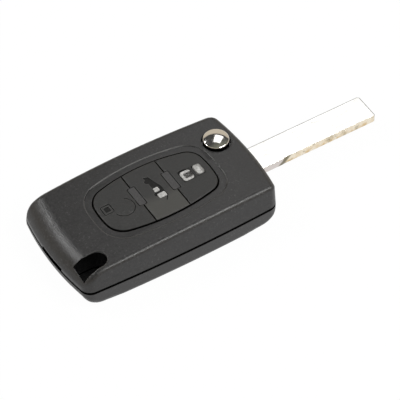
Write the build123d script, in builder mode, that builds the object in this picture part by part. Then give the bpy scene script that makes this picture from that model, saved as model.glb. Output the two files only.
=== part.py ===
from build123d import *
import math
import os

os.makedirs("parts", exist_ok=True)

# Flip key remote lying on its back, blade folded out.
# Frame: origin on the back face, in the middle of the shell; +X towards the blade, +Y towards
# the side that the blade folds into, +Z out of the front. Millimetres.

# Shell outline and height
shell_length = 64.7
shell_width = 36.0
back_depth = 6.4
front_rise = 7.5
side_bulge = 0.85
ring_end_bulge = 1.8
blade_end_bulge = 1.6
ring_corner_radius = 3.2
blade_corner_radius = 3.4
top_ring_corner_radius = 4.8
top_near_corner_radius = 1.8
top_far_corner_radius = 3.6
near_side_draft = 1.6
far_side_draft = 1.0
back_edge_radius = 2.1
back_flat_inset = 11.35
back_ramp_rise = 0.4
back_roll_length = 5.0
back_roll_radius = 5.6
back_roll_end = 0.7
top_edge_radius = 1.4
crown_radius = 420.0
crown_peak_x = 5.35
roll_start = 1.2
roll_length = 7.0
roll_radius = 7.6
end_roll_radius = 3.0
end_roll_drop = 2.23
end_crease_radius = 2.0
roll_overhang = 0.06

# Shell walls and the joint between the covers
wall = 1.6
top_wall = 1.5
floor = 1.4
seam_gap = 0.4
tongue_height = 1.2
tongue_wall = 0.7
tongue_clearance = 0.1
pry_width = 10.0
pry_height = 1.7
pry_below = 0.4
pry_depth = 1.2
pry_y = -1.0

# Slot for the key ring, in the near corner of the ring end
ring_slot_length = 8.6
ring_slot_width = 5.6
ring_slot_lip = 1.3
ring_slot_side = 3.2
ring_slot_wall = 1.1
ring_slot_corner = 0.6
ring_slot_lip_bottom = 4.2

# Key pad
pad_length = 35.6
pad_width = 20.0
pad_x = 1.45
pad_side_bulge = 2.5
pad_end_bulge = 1.0
pad_ring_corner = 6.0
pad_blade_corner = 5.0
band_width = 2.0
band_depth = 0.25
key_gap = 0.3
key_seam = 0.16
key_proud = 0.1
key_travel = 0.5
key_flange = 0.7
key_flange_thickness = 0.9
key_seat_height = 5.2
key_seat_clearance = 0.1
key_edge_radius = 0.35
key_skin = 1.2
key_wall = 1.6
ring_seam_x = -3.9
blade_seam_x = 6.95
bridge_length = 6.8
bridge_width = 2.1
bridge_y = 0.9
bridge_gap = 0.12
bridge_corner = 0.3
mark_depth = 0.2
mark_line = 0.32

# Frame that carries the keys
frame_margin = 3.0
frame_thickness = 0.8
frame_post_radius = 0.6
frame_post_dx = 12.0
frame_post_clearance = 0.05
stem_radius = 1.2
stem_hole_clearance = 0.6
frame_boss_clearance = 0.3

# Blade
blade_width = 8.7
blade_thickness = 2.5
blade_y = 0.2
blade_reach = 46.4
blade_tip_radius = 0.8
blade_edge_chamfer = 0.15
root_radius = 5.0
heel_radius = 3.5
heel_x = 3.5
mill_start = 16.0
mill_depth = 0.2
mill_cutter_radius = 3.0
slot_clearance = 0.35
channel_clearance = 0.4
channel_wall = 1.0
channel_end_gap = 0.5
channel_ceiling = 0.8
channel_rib_pitch = 7.0
channel_rib_width = 1.0

# Flip hub, its spring and the release button
pivot_end_inset = 6.8
pivot_side_inset = 11.0
hub_radius = 4.4
square_radius = 3.4
journal_radius = 2.9
running_gap = 0.05
key_fit = 0.02
hub_floor_gap = 0.3
hub_top_skin = 1.45
hub_top_gap = 0.1
boss_wall = 1.1
clip_thickness = 0.3
clip_groove = 0.35
clip_radius = 3.9
clip_mouth = 2.6
spring_room = 2.1
spring_wire = 0.5
spring_outer_radius = 1.9
spring_turns = 7
spring_end_gap = 0.03
button_radius = 3.7
button_hole_gap = 0.4
button_travel = 1.2
button_proud = 1.1
button_crown = 0.85
button_edge_radius = 0.3
button_roof = 1.3
button_skirt_wall = 1.1
button_skirt = 4.5
lug_width = 1.6
lug_reach = 0.45
lug_height = 1.4
lug_clearance = 0.1

# Circuit board, switches and battery
board_length = 36.6
board_thickness = 0.8
board_side_inset = 3.4
board_rib_gap = 0.65
board_height = 5.6
board_corner = 2.0
post_radius = 1.2
post_pin_radius = 0.55
post_pin_height = 0.5
post_clearance = 0.1
post_inset = 2.8
switch_size = 4.5
switch_height = 1.6
plunger_radius = 0.9
plunger_height = 1.2
switch_gap = 0.05
cell_radius = 8.0
cell_thickness = 2.0
cell_offset_y = 0.1
contact_thickness = 0.4
contact_radius = 2.5
strap_thickness = 0.3
strap_width = 4.0
strap_foot = 5.0
strap_tab = 3.4
strap_clearance = 0.1
cell_rib_width = 1.0
cell_rib_length = 8.0
cell_rib_x = 5.0
chip_size = 5.0
chip_height = 1.0
chip_x = 1.6
chip_inset = 4.0
transponder_length = 9.6
transponder_width = 5.6
transponder_height = 2.9
transponder_end_inset = 5.6
transponder_side_inset = 3.8
transponder_lift = 0.9
pocket_wall = 0.8
pocket_height = 2.2
pocket_clearance = 0.1

# Sizes worked out from the ones above
part_z = back_depth
top_z = part_z + front_rise
half_length = shell_length / 2
half_width = shell_width / 2
rim_drop = seam_gap / 2
pivot_x = half_length - pivot_end_inset
pivot_y = half_width - pivot_side_inset
end_half = half_width - side_bulge
ring_end_radius = (end_half**2 + ring_end_bulge**2) / (2 * ring_end_bulge)
ring_axis_x = ring_end_radius - half_length
blade_end_radius = (end_half**2 + blade_end_bulge**2) / (2 * blade_end_bulge)
blade_axis_x = half_length - blade_end_radius
blade_low_y = blade_y - blade_width / 2
blade_high_y = blade_y + blade_width / 2
blade_bottom = part_z - blade_thickness / 2
blade_top = part_z + blade_thickness / 2
slot_bottom = blade_bottom - slot_clearance
slot_top = blade_top + slot_clearance
channel_y = 2 * pivot_y - blade_high_y - channel_clearance
channel_x = pivot_x - blade_reach - channel_end_gap
key_seat_z = part_z + key_seat_height
flange_top = key_seat_z - key_seat_clearance
flange_bottom = flange_top - key_flange_thickness
frame_top = flange_bottom - key_travel - key_seat_clearance
frame_bottom = frame_top - frame_thickness
board_low_y = board_side_inset - half_width
board_high_y = channel_y - channel_wall - board_rib_gap
board_width = board_high_y - board_low_y
board_y = (board_low_y + board_high_y) / 2
chip_y = board_low_y + chip_inset
cell_y = board_y + cell_offset_y
board_top = board_height + board_thickness
plunger_top = board_top + switch_height + plunger_height
stem_bottom = plunger_top + key_travel + switch_gap
switch_xs = {
    "lock": (pad_x - pad_length / 2 + ring_seam_x) / 2,
    "tailgate": (ring_seam_x + blade_seam_x) / 2,
    "unlock": (blade_seam_x + pad_x + pad_length / 2) / 2,
}
slot_x_min = ring_slot_lip - half_length + ring_end_bulge / 2
slot_y = ring_slot_side + ring_slot_width / 2 - half_width
hub_bottom = floor + hub_floor_gap
cell_top = board_height - contact_thickness
cell_bottom = cell_top - cell_thickness
transponder_x = half_length - transponder_end_inset - transponder_length / 2
transponder_y = transponder_side_inset + transponder_width / 2 - half_width
transponder_floor = floor + transponder_lift


def crown_height(x, drop=0.0):
    """Height of the crowned front at x, on the centre line, sunk by drop."""
    return top_z - crown_radius + math.sqrt((crown_radius - drop) ** 2 - (x - crown_peak_x) ** 2)


button_hole_z = crown_height(pivot_x)
hub_top = button_hole_z - hub_top_skin - hub_top_gap
button_edge_z = button_hole_z + button_proud
skirt_bottom = button_edge_z - button_skirt
lug_top = skirt_bottom + lug_height
button_ceiling = button_edge_z - button_roof
hub_step = skirt_bottom - button_travel - lug_clearance
boss_radius = hub_radius + running_gap + boss_wall
rib_end_x = pivot_x - boss_radius - frame_boss_clearance
channel_rib_count = int((rib_end_x - channel_x) / channel_rib_pitch)
channel_ribs = [channel_x + (index + 0.5) * channel_rib_pitch for index in range(channel_rib_count)]
rebate_reach = 2 * near_side_draft * (tongue_height + tongue_clearance) / front_rise
post_dx = board_length / 2 - post_inset
post_dy = board_width / 2 - post_inset
board_posts = [(sx * post_dx, board_y + sy * post_dy) for sx in (-1, 1) for sy in (-1, 1)]


def barrel(length, width, side, ring, blade, ring_corner, near_corner, far_corner):
    """Rounded rectangle whose long sides and ends bow outwards."""
    long_half = length / 2
    wide_half = width / 2
    ring_x = ring - long_half
    blade_x = long_half - blade
    corner_y = wide_half - side
    with BuildSketch() as outline:
        with BuildLine():
            ThreePointArc((ring_x, -corner_y), (0, -wide_half), (blade_x, -corner_y))
            ThreePointArc((blade_x, -corner_y), (long_half, 0), (blade_x, corner_y))
            ThreePointArc((blade_x, corner_y), (0, wide_half), (ring_x, corner_y))
            ThreePointArc((ring_x, corner_y), (-long_half, 0), (ring_x, -corner_y))
        make_face()
        fillet(outline.vertices().group_by(Axis.X)[0], ring_corner)
        fillet(outline.vertices().sort_by_distance((blade_x, -corner_y))[0], near_corner)
        fillet(outline.vertices().sort_by_distance((blade_x, corner_y))[0], far_corner)
    return outline.sketch


def shell_outline(inset):
    """Plan outline of the shell where the covers meet, pulled in by inset."""
    return barrel(
        shell_length - 2 * inset,
        shell_width - 2 * inset,
        side_bulge,
        ring_end_bulge,
        blade_end_bulge,
        ring_corner_radius - inset,
        blade_corner_radius - inset,
        blade_corner_radius - inset,
    )


def top_outline(inset, rise):
    """Plan outline of the leaning walls at rise above the parting line, pulled in by inset."""
    near = near_side_draft * rise / front_rise
    far = far_side_draft * rise / front_rise
    outline = barrel(
        shell_length - 2 * inset,
        shell_width - 2 * inset - near - far,
        side_bulge,
        ring_end_bulge,
        blade_end_bulge,
        top_ring_corner_radius - inset,
        max(top_near_corner_radius - inset, top_near_corner_radius / 4),
        top_far_corner_radius - inset,
    )
    return Pos(0, (near - far) / 2) * outline


def pad_outline(grow):
    """Plan outline of the key pad, grown by grow."""
    outline = barrel(
        pad_length + 2 * grow,
        pad_width + 2 * grow,
        pad_side_bulge,
        pad_end_bulge,
        pad_end_bulge,
        pad_ring_corner + grow,
        pad_blade_corner + grow,
        pad_blade_corner + grow,
    )
    return Pos(pad_x, 0) * outline


def pad_half_width(dx):
    """Half width of the key pad at dx from its middle."""
    corner_x = pad_length / 2 - pad_end_bulge
    radius = (corner_x**2 + pad_side_bulge**2) / (2 * pad_side_bulge)
    return pad_width / 2 - radius + math.sqrt(radius**2 - dx**2)


def crowned_cap(drop):
    """Everything under the crowned front and its rolled ring end, sunk by drop."""
    end_x = drop - half_length - roll_overhang
    far_x = ring_axis_x - 1
    join_x = roll_length - half_length
    with BuildPart() as cap:
        with BuildSketch(Plane.XZ):
            with BuildLine():
                wall_top = (end_x, part_z + roll_start)
                join = (join_x, crown_height(join_x, drop))
                peak = (crown_peak_x, crown_height(crown_peak_x, drop))
                far = (far_x, crown_height(far_x, drop))
                Line((end_x, 0), wall_top)
                RadiusArc(wall_top, join, roll_radius - drop)
                ThreePointArc(join, peak, far)
                Line(far, (far_x, 0))
                Line((far_x, 0), (end_x, 0))
            make_face()
        revolve(axis=Axis((ring_axis_x, 0, 0), (0, 0, 1)))
    return cap.part


def blade_end_cap(inset):
    """Everything inside the rolled upper edge of the blade end, pulled in by inset."""
    radius = end_roll_radius - inset
    centre_x = half_length + roll_overhang - end_roll_radius
    centre_z = crown_height(half_length) - end_roll_drop
    above = top_z + end_roll_radius
    with BuildPart() as cap:
        with BuildSketch(Plane.XZ):
            with BuildLine():
                Line((blade_axis_x, 0), (centre_x + radius, 0))
                Line((centre_x + radius, 0), (centre_x + radius, centre_z))
                RadiusArc((centre_x + radius, centre_z), (centre_x, centre_z + radius), -radius)
                Line((centre_x, centre_z + radius), (centre_x, above))
                Line((centre_x, above), (blade_axis_x, above))
                Line((blade_axis_x, above), (blade_axis_x, 0))
            make_face()
        revolve(axis=Axis((blade_axis_x, 0, 0), (0, 0, 1)))
    return cap.part


def front_form(inset, drop):
    """Outside form of the front cover, pulled in by inset and sunk by drop."""
    over = 1.0
    with BuildPart() as form:
        with BuildSketch(Plane.XY.offset(part_z)):
            add(shell_outline(inset))
        with BuildSketch(Plane.XY.offset(top_z + over)):
            add(top_outline(inset, front_rise + over))
        loft(ruled=True)
        add(crowned_cap(drop), mode=Mode.INTERSECT)
        add(blade_end_cap(inset), mode=Mode.INTERSECT)
    return form.part


def back_cap(inset, lift):
    """Everything above the back, flat in its middle and rolled up at both ends."""
    with BuildPart() as cap:
        for way, axis_x in ((-1, ring_axis_x), (1, blade_axis_x)):
            flat_end = (way * (half_length - back_flat_inset), lift)
            ramp_end = (way * (half_length - back_roll_length), back_ramp_rise + lift)
            wall_foot = (way * (half_length + roll_overhang - inset), part_z - back_roll_end)
            with BuildSketch(Plane.XZ):
                with BuildLine():
                    Line((axis_x, lift), flat_end)
                    Line(flat_end, ramp_end)
                    RadiusArc(ramp_end, wall_foot, way * (inset - back_roll_radius))
                    Line(wall_foot, (wall_foot[0], top_z))
                    Line((wall_foot[0], top_z), (axis_x, top_z))
                    Line((axis_x, top_z), (axis_x, lift))
                make_face()
            revolve(
                axis=Axis((axis_x, 0, 0), (0, 0, 1)),
                mode=Mode.ADD if way < 0 else Mode.INTERSECT,
            )
    return cap.part


def back_form(inset, lift, height):
    """Outside form of the back cover up to height, pulled in by inset and raised by lift."""
    with BuildPart() as form:
        with BuildSketch():
            add(shell_outline(inset))
        extrude(amount=height)
        add(back_cap(inset, lift), mode=Mode.INTERSECT)
    return form.part


def blade_outline(grow):
    """Plan outline of the blade with its ring and heel, grown by grow."""
    heel_y = blade_low_y + heel_radius
    with BuildSketch() as outline:
        with Locations((pivot_x, pivot_y)):
            Circle(root_radius + grow)
        with Locations((pivot_x + heel_x, heel_y)):
            Circle(heel_radius + grow)
        make_hull()
        with Locations((pivot_x + heel_x, blade_y)):
            Rectangle(
                blade_reach - heel_x + grow,
                blade_width + 2 * grow,
                align=(Align.MIN, Align.CENTER),
            )
    return outline.sketch


def ring_slot_outline(grow):
    """Plan outline of the key-ring slot: square at the ring end, round at the other."""
    width = ring_slot_width + 2 * grow
    with BuildSketch() as outline:
        with Locations((slot_x_min - grow, slot_y)):
            Rectangle(
                ring_slot_length - ring_slot_width / 2 + grow,
                width,
                align=(Align.MIN, Align.CENTER),
            )
        fillet(outline.vertices().group_by(Axis.X)[0], ring_slot_corner + max(grow, 0))
        with Locations((slot_x_min + ring_slot_length - ring_slot_width / 2, slot_y)):
            Circle(width / 2)
    return outline.sketch


def frame_post_outline(grow):
    """Plan outline of the four posts that hold the key frame."""
    post_y = pad_half_width(frame_post_dx) + key_flange + frame_post_radius + key_gap
    with BuildSketch() as outline:
        with Locations((pad_x, 0)):
            with GridLocations(2 * frame_post_dx, 2 * post_y, 2, 2):
                Circle(frame_post_radius + grow)
    return outline.sketch


# Room that the blade sweeps between the covers, open at the blade end and along the +Y side
with BuildPart() as blade_room:
    with BuildSketch(Plane.XY.offset(slot_bottom)):
        add(blade_outline(slot_clearance))
        with Locations((pivot_x - slot_clearance, blade_low_y - slot_clearance)):
            Rectangle(shell_length, shell_width, align=(Align.MIN, Align.MIN))
        with Locations((channel_x, channel_y)):
            Rectangle(pivot_x - channel_x, shell_width, align=(Align.MIN, Align.MIN))
    extrude(amount=slot_top - slot_bottom)

# Notch to part the covers with a coin, in the middle of the ring end
with BuildPart() as pry_notch:
    with BuildSketch(Plane.XY.offset(part_z - pry_below)):
        with Locations((-half_length, pry_y)):
            Rectangle(2 * pry_depth, pry_width)
    extrude(amount=pry_height)

front_outside = front_form(0, 0)
front_hollow = front_form(wall, top_wall)


def crosses_blade_end(edge):
    """Whether the edge runs across the top where the blade end rolls over."""
    box = edge.bounding_box()
    above_roll = crown_height(half_length) - end_roll_drop / 2
    return box.size.Y > half_width and box.min.X > 0 and box.min.Z > above_roll


# Outer skin of the front cover, with its rounded top edges
with BuildPart() as front_skin:
    add(front_outside)
    fillet(front_skin.edges().filter_by(crosses_blade_end), end_crease_radius)
    above_wall = part_z + roll_start / 2
    top_edges = front_skin.edges().filter_by(lambda edge: edge.bounding_box().min.Z > above_wall)
    fillet(top_edges.filter_by(lambda edge: not crosses_blade_end(edge)), top_edge_radius)

# Seat, posts, slot walls and hub boss inside the front cover
with BuildPart() as front_ribs:
    # Flat seat under the front that the key flanges rest against
    with BuildSketch(Plane.XY.offset(key_seat_z)):
        add(pad_outline(frame_margin))
    extrude(amount=front_rise)
    # Posts that hold the key frame
    with BuildSketch(Plane.XY.offset(frame_bottom)):
        add(frame_post_outline(0))
    extrude(amount=front_rise)
    # Walls around the key-ring slot
    with BuildSketch(Plane.XY.offset(part_z + rim_drop)):
        add(ring_slot_outline(ring_slot_wall))
    extrude(amount=front_rise)
    # Ceiling over the folded blade, which hides the key frame behind the channel
    with BuildSketch(Plane.XY.offset(slot_top)):
        with Locations((channel_x - channel_wall, channel_y + channel_end_gap)):
            Rectangle(pivot_x - channel_x + channel_wall, half_width, align=(Align.MIN, Align.MIN))
    extrude(amount=channel_ceiling)
    # Boss that guides the top of the flip hub
    with BuildSketch(Plane.XY.offset(slot_top)):
        with Locations((pivot_x, pivot_y)):
            Circle(boss_radius)
    extrude(amount=front_rise)
    add(front_skin.part, mode=Mode.INTERSECT)

# Shallow band around the keys, following the crown
with BuildPart() as key_band:
    with BuildSketch(Plane.XY.offset(key_seat_z)):
        add(pad_outline(band_width))
    extrude(amount=front_rise)
    add(crowned_cap(band_depth), mode=Mode.SUBTRACT)

# Front cover: crowned shell with the key opening, the button hole and the key-ring slot
with BuildPart() as front_cover:
    add(front_skin.part)
    add(front_hollow, mode=Mode.SUBTRACT)
    add(front_ribs.part)
    # Rebate that takes the back cover's tongue, as far in as the leaning wall reaches
    with BuildSketch(Plane.XY.offset(part_z)):
        add(shell_outline(wall - tongue_wall - tongue_clearance))
        add(shell_outline(wall + rebate_reach), mode=Mode.SUBTRACT)
    extrude(amount=tongue_height + tongue_clearance, mode=Mode.SUBTRACT)
    with BuildSketch(Plane.XY.offset(part_z)):
        add(shell_outline(-wall))
    extrude(amount=rim_drop, mode=Mode.SUBTRACT)
    # Opening for the keys, and the band around it
    with BuildSketch(Plane.XY.offset(key_seat_z)):
        add(pad_outline(0))
    extrude(amount=front_rise, mode=Mode.SUBTRACT)
    add(key_band.part, mode=Mode.SUBTRACT)
    # Bore for the hub, and the hole that the release button shows through
    with BuildSketch(Plane.XY.offset(slot_top)):
        with Locations((pivot_x, pivot_y)):
            Circle(hub_radius + running_gap)
    extrude(amount=hub_top + hub_top_gap - slot_top, mode=Mode.SUBTRACT)
    with BuildSketch(Plane.XY.offset(slot_top)):
        with Locations((pivot_x, pivot_y)):
            Circle(button_radius + button_hole_gap)
    extrude(amount=front_rise, mode=Mode.SUBTRACT)
    # Key-ring slot, blade slot and pry notch
    with BuildSketch(Plane.XY.offset(part_z)):
        add(ring_slot_outline(0))
    extrude(amount=front_rise, mode=Mode.SUBTRACT)
    add(blade_room.part, mode=Mode.SUBTRACT)
    add(pry_notch.part, mode=Mode.SUBTRACT)

front_cover.part.label = "front_cover"
export_step(front_cover.part, "parts/front_cover.step")

# Outer skin of the back cover, with its rounded lower edges
with BuildPart() as back_skin:
    add(back_form(0, 0, part_z - rim_drop))
    below_rim = part_z - seam_gap
    lower_edges = back_skin.edges().filter_by(lambda edge: edge.bounding_box().max.Z < below_rim)
    fillet(lower_edges, back_edge_radius)

# Ribs, posts and pockets inside the back cover
with BuildPart() as back_ribs:
    # Rib between the board and the blade's channel
    with BuildSketch():
        with Locations((channel_x, channel_y - channel_wall)):
            Rectangle(rib_end_x - channel_x, channel_wall, align=(Align.MIN, Align.MIN))
    extrude(amount=frame_bottom - key_seat_clearance)
    # Ribs across the channel, under the folded blade
    with BuildSketch():
        for rib_x in channel_ribs:
            with Locations((rib_x, channel_y - channel_wall)):
                Rectangle(channel_rib_width, half_width, align=(Align.CENTER, Align.MIN))
    extrude(amount=slot_bottom)
    # Walls around the key-ring slot
    with BuildSketch():
        add(ring_slot_outline(ring_slot_wall))
    extrude(amount=part_z - rim_drop)
    # Bush for the lower end of the flip hub
    with BuildSketch():
        with Locations((pivot_x, pivot_y)):
            Circle(journal_radius + running_gap + boss_wall)
    extrude(amount=slot_bottom)
    # Posts with pins for the circuit board
    with BuildSketch():
        with Locations(*board_posts):
            Circle(post_radius)
    extrude(amount=board_height)
    with BuildSketch(Plane.XY.offset(board_height)):
        with Locations(*board_posts):
            Circle(post_pin_radius)
    extrude(amount=board_thickness + post_pin_height)
    # Ribs under the battery
    with BuildSketch():
        with Locations((-cell_rib_x, cell_y), (cell_rib_x, cell_y)):
            Rectangle(cell_rib_width, cell_rib_length)
    extrude(amount=cell_bottom - strap_thickness - pocket_clearance)
    # Raised pocket for the transponder
    with BuildSketch():
        with Locations((transponder_x, transponder_y)):
            room = 2 * pocket_clearance
            Rectangle(
                transponder_length + room + 2 * pocket_wall,
                transponder_width + room + 2 * pocket_wall,
            )
    extrude(amount=transponder_floor + pocket_height)
    with BuildSketch(Plane.XY.offset(transponder_floor)):
        with Locations((transponder_x, transponder_y)):
            Rectangle(transponder_length + room, transponder_width + room)
    extrude(amount=part_z, mode=Mode.SUBTRACT)
    add(back_form(wall / 2, floor / 2, top_z), mode=Mode.INTERSECT)

# Back cover: tray with rounded lower edges, carrying the board, the battery and the hub
with BuildPart() as back_cover:
    add(back_skin.part)
    add(back_form(wall, floor, top_z), mode=Mode.SUBTRACT)
    add(back_ribs.part)
    # Tongue that centres the front cover
    with BuildSketch(Plane.XY.offset(part_z - rim_drop - tongue_height)):
        add(shell_outline(wall - tongue_wall))
        add(shell_outline(wall), mode=Mode.SUBTRACT)
    extrude(amount=rim_drop + 2 * tongue_height)
    # Bore of the bush
    with BuildSketch(Plane.XY.offset(floor)):
        with Locations((pivot_x, pivot_y)):
            Circle(journal_radius + running_gap)
    extrude(amount=part_z, mode=Mode.SUBTRACT)
    # Key-ring slot, which is open to the rolled end below its lip
    with BuildSketch():
        add(ring_slot_outline(0))
    extrude(amount=top_z, mode=Mode.SUBTRACT)
    with BuildSketch():
        with Locations((slot_x_min + ring_slot_corner, slot_y)):
            Rectangle(ring_slot_length, ring_slot_width, align=(Align.MAX, Align.CENTER))
    extrude(amount=ring_slot_lip_bottom, mode=Mode.SUBTRACT)
    # Blade slot and pry notch
    add(blade_room.part, mode=Mode.SUBTRACT)
    add(pry_notch.part, mode=Mode.SUBTRACT)

back_cover.part.label = "back_cover"
export_step(back_cover.part, "parts/back_cover.step")

# Frame behind the keys, with the two small bridges that show between them
with BuildPart() as key_frame:
    with BuildSketch(Plane.XY.offset(frame_bottom)):
        add(pad_outline(frame_margin))
        add(frame_post_outline(frame_post_clearance), mode=Mode.SUBTRACT)
        with Locations(*[(x, 0) for x in switch_xs.values()]):
            Circle(stem_radius + stem_hole_clearance, mode=Mode.SUBTRACT)
        with Locations((pivot_x, pivot_y)):
            Circle(boss_radius + frame_boss_clearance, mode=Mode.SUBTRACT)
    extrude(amount=frame_thickness)
    with BuildSketch(Plane.XY.offset(frame_top)):
        with Locations((ring_seam_x, bridge_y), (blade_seam_x, bridge_y)):
            RectangleRounded(bridge_width, bridge_length, bridge_corner)
    extrude(amount=top_z)
    add(crowned_cap(0), mode=Mode.INTERSECT)

key_frame.part.label = "key_frame"
export_step(key_frame.part, "parts/key_frame.step")


def padlock_open(x, y):
    """Open padlock: a framed body and a wide shackle swung off to one side."""
    body_dx, body_dy = -4.3, 1.8
    body_length, body_width, body_corner = 3.2, 3.4, 0.5
    core_length, core_width, core_corner = 1.7, 1.9, 0.3
    shackle_radius, shackle_start, shackle_sweep = 3.1, -165, 225
    with BuildSketch() as mark:
        with Locations((x + body_dx, y + body_dy)):
            RectangleRounded(body_length, body_width, body_corner)
            RectangleRounded(
                body_length - 2 * mark_line,
                body_width - 2 * mark_line,
                body_corner - mark_line,
                mode=Mode.SUBTRACT,
            )
            RectangleRounded(core_length, core_width, core_corner)
        with BuildLine():
            CenterArc((x, y), shackle_radius, shackle_start, shackle_sweep)
        trace(line_width=mark_line)
    return mark.sketch


def padlock_closed(x, y):
    """Closed padlock: a solid body with its shackle drawn as a bold U."""
    body_dx, body_length, body_width, body_corner = 2.1, 2.4, 3.8, 0.7
    shackle_dx, shackle_length, shackle_width, shackle_corner = -2.1, 3.0, 4.1, 1.1
    opening_dx, opening_length, opening_width = -1.15, 3.2, 2.0
    with BuildSketch() as mark:
        with Locations((x + body_dx, y)):
            RectangleRounded(body_length, body_width, body_corner)
        with Locations((x + shackle_dx, y)):
            RectangleRounded(shackle_length, shackle_width, shackle_corner)
        with Locations((x + opening_dx, y)):
            Rectangle(opening_length, opening_width, mode=Mode.SUBTRACT)
    return mark.sketch


def hatchback(x, y):
    """Car seen from the side, nose towards +Y, with its tailgate raised."""
    sill = -0.6
    nose = (-0.9, 5.4)
    bonnet = (0.6, 5.0)
    windscreen = (1.3, 2.6)
    roof_front = (2.0, 0.6)
    roof_rear = (2.1, -3.0)
    tail = (0.9, -3.7)
    tailgate_end = (0.7, -4.9)
    rear_sill, front_sill = (sill, -2.9), (sill, 3.4)
    rear_wheel, front_wheel, wheel_radius = (sill, -1.7), (sill, 3.6), 0.75
    with BuildSketch() as mark:
        with BuildLine():
            Polyline(
                rear_sill, front_sill, nose, bonnet, windscreen, roof_front, roof_rear, tail, close=True
            )
        make_face()
        with Locations(front_wheel, rear_wheel):
            Circle(wheel_radius)
        with BuildLine():
            Line(roof_rear, tailgate_end)
        trace(line_width=mark_line)
    return Pos(x, y) * mark.sketch


key_marks = {
    "lock": padlock_open(switch_xs["lock"] + 1.2, -0.6),
    "tailgate": hatchback(switch_xs["tailgate"] + 0.1, 0.2),
    "unlock": padlock_closed(switch_xs["unlock"] + 0.3, 0.6),
}
key_spans = {
    "lock": (pad_x - pad_length, ring_seam_x - key_seam / 2),
    "tailgate": (ring_seam_x + key_seam / 2, blade_seam_x - key_seam / 2),
    "unlock": (blade_seam_x + key_seam / 2, pad_x + pad_length),
}


def key_outline(span, grow):
    """Plan outline of one key: its stretch of the pad, notched around the bridges."""
    low_x, high_x = span
    with BuildSketch() as outline:
        add(pad_outline(grow))
        with Locations((low_x, 0)):
            Rectangle(high_x - low_x, 2 * pad_width, align=(Align.MIN, Align.CENTER), mode=Mode.INTERSECT)
        with Locations((ring_seam_x, bridge_y), (blade_seam_x, bridge_y)):
            RectangleRounded(
                bridge_width + 2 * bridge_gap,
                bridge_length + 2 * bridge_gap,
                bridge_corner + bridge_gap,
                mode=Mode.SUBTRACT,
            )
    return outline.sketch


def key_hollow(name):
    """Plan outline of the hollow under a key, around its stem."""
    with BuildSketch() as outline:
        add(key_outline(key_spans[name], -key_gap - key_wall))
        low_x, high_x = key_spans[name]
        with Locations((low_x + key_wall, 0)):
            Rectangle(
                high_x - low_x - 2 * key_wall,
                2 * pad_width,
                align=(Align.MIN, Align.CENTER),
                mode=Mode.INTERSECT,
            )
        with Locations((switch_xs[name], 0)):
            Circle(stem_radius, mode=Mode.SUBTRACT)
    return outline.sketch


# Keys: a crowned cap with a flange that keeps it in, and a stem over its switch
for name, span in key_spans.items():
    # Engraved picture, of even depth under the crown
    with BuildPart() as engraving:
        with BuildSketch(Plane.XY.offset(key_seat_z)):
            add(key_marks[name])
        extrude(amount=front_rise)
        add(crowned_cap(mark_depth - key_proud), mode=Mode.SUBTRACT)
    with BuildPart() as key:
        with BuildSketch(Plane.XY.offset(flange_bottom)):
            add(key_outline(span, -key_gap))
        extrude(amount=top_z)
        add(crowned_cap(-key_proud), mode=Mode.INTERSECT)
        rim = key.edges().filter_by(lambda edge: edge.bounding_box().min.Z > key_seat_z)
        fillet(rim, key_edge_radius)
        with BuildSketch(Plane.XY.offset(flange_bottom)):
            add(key_outline(span, key_flange))
        extrude(amount=key_flange_thickness)
        with BuildSketch(Plane.XY.offset(flange_bottom)):
            add(key_hollow(name))
        extrude(amount=crown_height(switch_xs[name]) - key_skin - flange_bottom, mode=Mode.SUBTRACT)
        with BuildSketch(Plane.XY.offset(stem_bottom)):
            with Locations((switch_xs[name], 0)):
                Circle(stem_radius)
        extrude(amount=crown_height(switch_xs[name]) - key_skin / 2 - stem_bottom)
        add(engraving.part, mode=Mode.SUBTRACT)
    key.part.label = "key_" + name
    export_step(key.part, "parts/key_" + name + ".step")

# Circuit board, with a hole for each post pin
with BuildPart() as circuit_board:
    with BuildSketch(Plane.XY.offset(board_height)):
        with Locations((0, board_y)):
            RectangleRounded(board_length, board_width, board_corner)
        with Locations(*board_posts):
            Circle(post_pin_radius + post_clearance, mode=Mode.SUBTRACT)
    extrude(amount=board_thickness)

circuit_board.part.label = "circuit_board"
export_step(circuit_board.part, "parts/circuit_board.step")

# Switches on the board, one under each key
for name, x in switch_xs.items():
    with BuildPart() as switch:
        with BuildSketch(Plane.XY.offset(board_top)):
            with Locations((x, 0)):
                Rectangle(switch_size, switch_size)
        extrude(amount=switch_height)
        with BuildSketch(Plane.XY.offset(board_top + switch_height)):
            with Locations((x, 0)):
                Circle(plunger_radius)
        extrude(amount=plunger_height)
    switch.part.label = "switch_" + name
    export_step(switch.part, "parts/switch_" + name + ".step")

# Control chip on the board
with BuildPart() as control_chip:
    with BuildSketch(Plane.XY.offset(board_top)):
        with Locations((chip_x, chip_y)):
            Rectangle(chip_size, chip_size)
    extrude(amount=chip_height)

control_chip.part.label = "control_chip"
export_step(control_chip.part, "parts/control_chip.step")

# Coin cell under the board
with BuildPart() as coin_cell:
    with BuildSketch(Plane.XY.offset(cell_bottom)):
        with Locations((0, cell_y)):
            Circle(cell_radius)
    extrude(amount=cell_thickness)
    fillet(coin_cell.edges().group_by(Axis.Z)[0], strap_thickness)

coin_cell.part.label = "coin_cell"
export_step(coin_cell.part, "parts/coin_cell.step")

# Contact between the cell's upper face and the board
with BuildPart() as battery_contact:
    with BuildSketch(Plane.XY.offset(cell_top)):
        with Locations((0, cell_y)):
            Circle(contact_radius)
    extrude(amount=contact_thickness)

battery_contact.part.label = "battery_contact"
export_step(battery_contact.part, "parts/battery_contact.step")

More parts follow.
